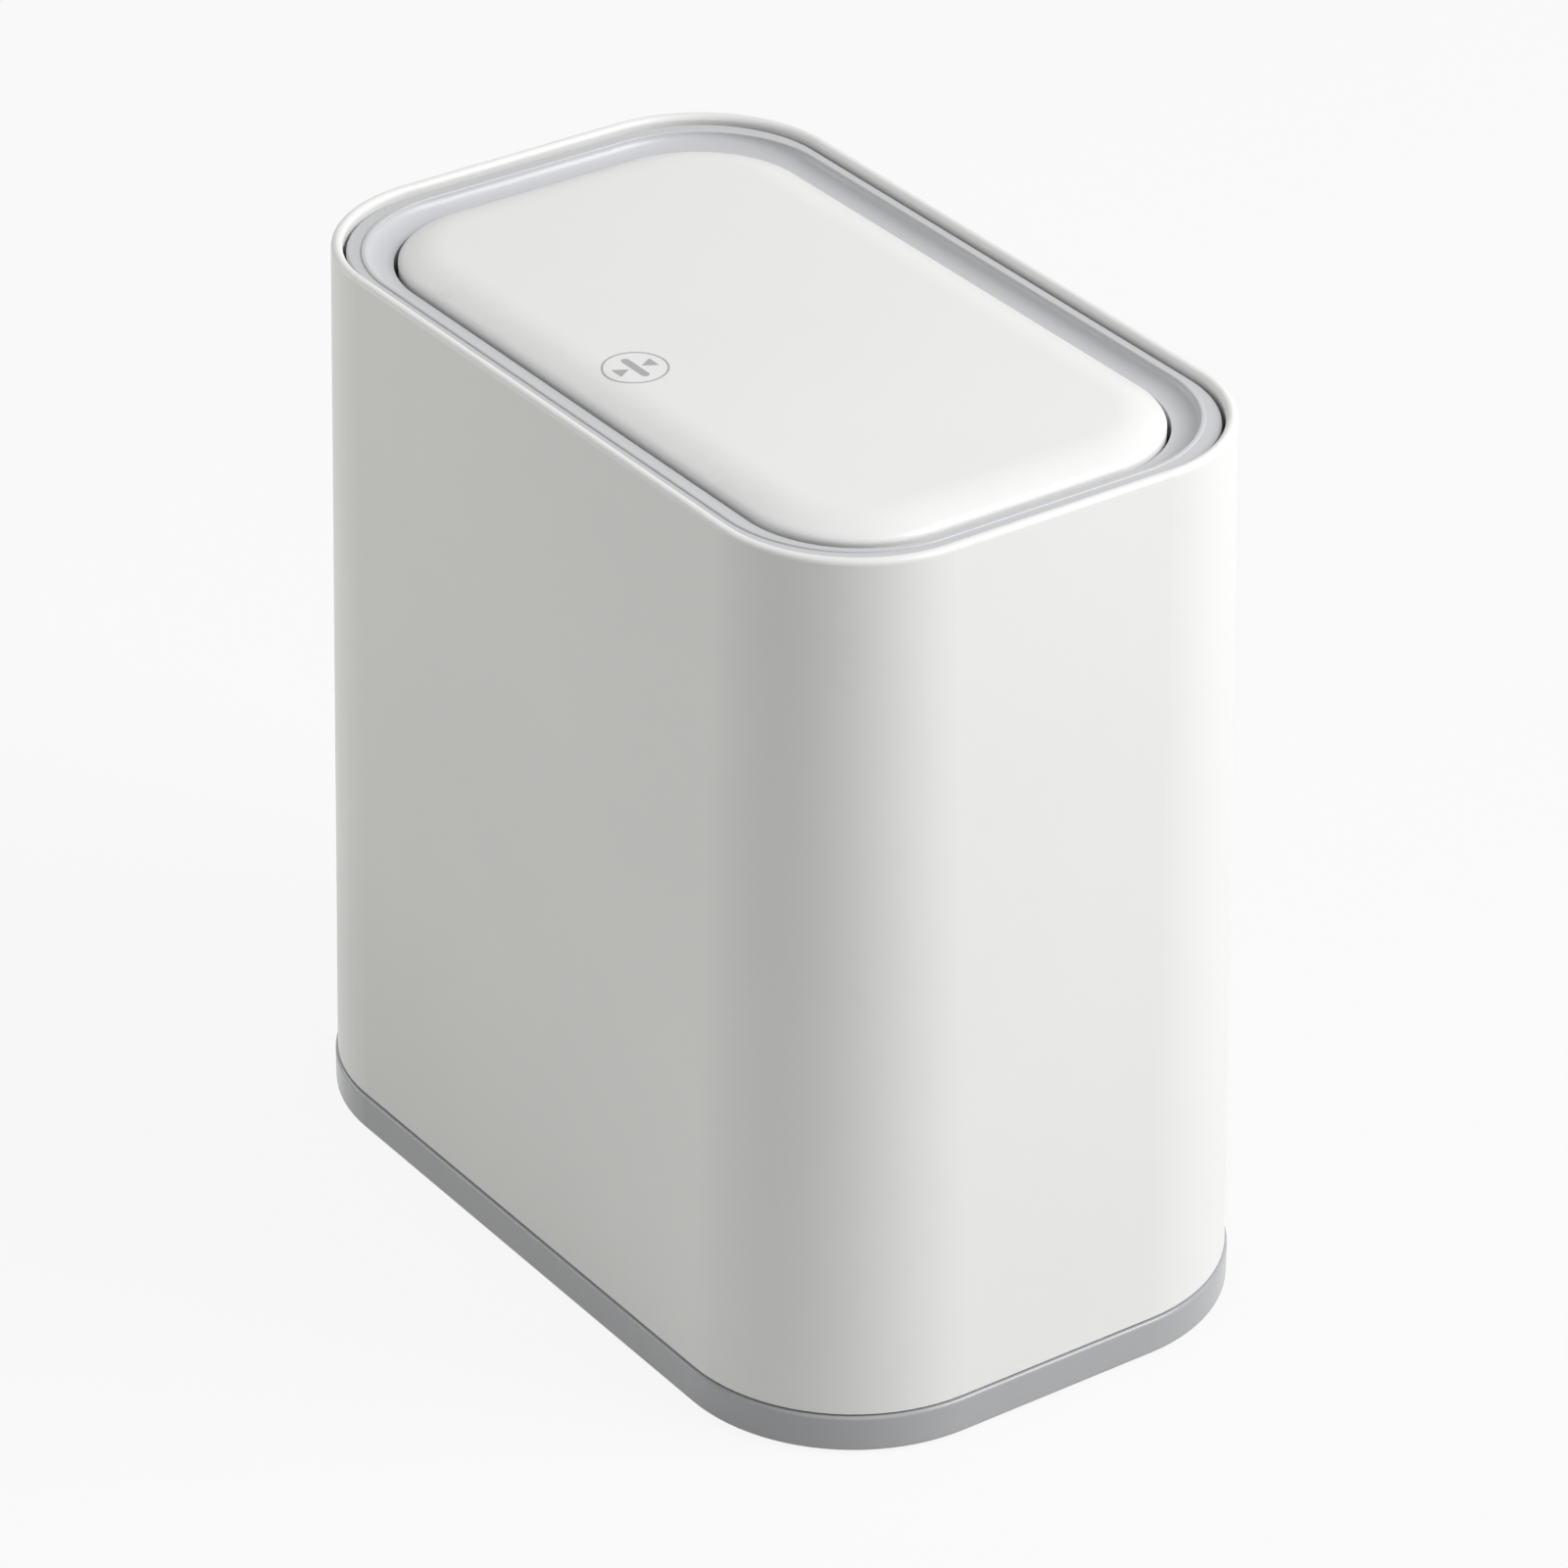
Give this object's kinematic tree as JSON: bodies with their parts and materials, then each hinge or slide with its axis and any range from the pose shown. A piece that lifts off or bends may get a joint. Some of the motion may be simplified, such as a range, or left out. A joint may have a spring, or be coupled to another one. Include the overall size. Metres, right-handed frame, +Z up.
{
  "type": "push top countertop bin",
  "caption": "Rounded rectangular countertop bin with a sprung push-open flap, a lid frame and a lift-out inner bucket on a contrasting base.",
  "frame": {"origin": "on the floor, under the middle of the base", "axes": "+X along the length, -Y towards the pressed edge of the flap, +Z up"},
  "size_m": [0.2496, 0.1554, 0.247],
  "materials": {
    "white_plastic": "satin white moulded polypropylene",
    "grey_plastic": "fine matt grey moulded polypropylene",
    "frame_plastic": "satin light grey moulded polypropylene",
    "liner_plastic": "matt grey moulded polypropylene",
    "latch_plastic": "smooth black acetal",
    "damper_plastic": "smooth black acetal barrel",
    "rubber": "soft dark rubber",
    "screw_steel": "zinc plated steel",
    "pin_steel": "ground bright steel",
    "spring_steel": "drawn spring wire",
    "strike_steel": "nickel plated steel"
  },
  "bodies": {
    "shell": {"outer_sleeve": "white_plastic", "base_pan": "grey_plastic", "base_screws": "screw_steel", "rubber_feet": "rubber"},
    "bucket": {"inner_bucket": "liner_plastic"},
    "lid": {"lid_frame": "frame_plastic", "latch_housing": "latch_plastic", "latch_cap": "latch_plastic", "latch_screws": "screw_steel", "latch_spring": "spring_steel", "stop_bumpers": "rubber", "damper_body": "damper_plastic", "torsion_spring": "spring_steel"},
    "flap": {"flap_cover": "white_plastic", "flap_tray": "frame_plastic", "flap_screws": "screw_steel", "strike_plate": "strike_steel", "keeper_pin": "pin_steel", "hinge_pin": "pin_steel", "damper_shaft": "pin_steel"},
    "collet": {"latch_collet": "latch_plastic"}
  },
  "joints": [
    {"name": "bucket_lift", "type": "slide", "parent": "shell", "child": "bucket", "axis": [0, 0, 1], "range_m": [0, 0.245]},
    {"name": "lid_lift", "type": "slide", "parent": "bucket", "child": "lid", "axis": [0, 0, 1], "range_m": [0, 0.06]},
    {"name": "flap_swing", "type": "hinge", "parent": "lid", "child": "flap", "pos_m": [0, 0.0495, 0.2414], "axis": [-1, 0, 0], "range_deg": [-1.3, 80], "stiffness_Nm_per_rad": 0.05, "springref_deg": 61.99},
    {"name": "latch_collet_slide", "type": "slide", "parent": "lid", "child": "collet", "axis": [0, 0, 1], "range_m": [-0.0024, 0.001], "stiffness_N_per_m": 60, "springref_m": 0.00009, "deforming": ["latch_spring"]}
  ]
}
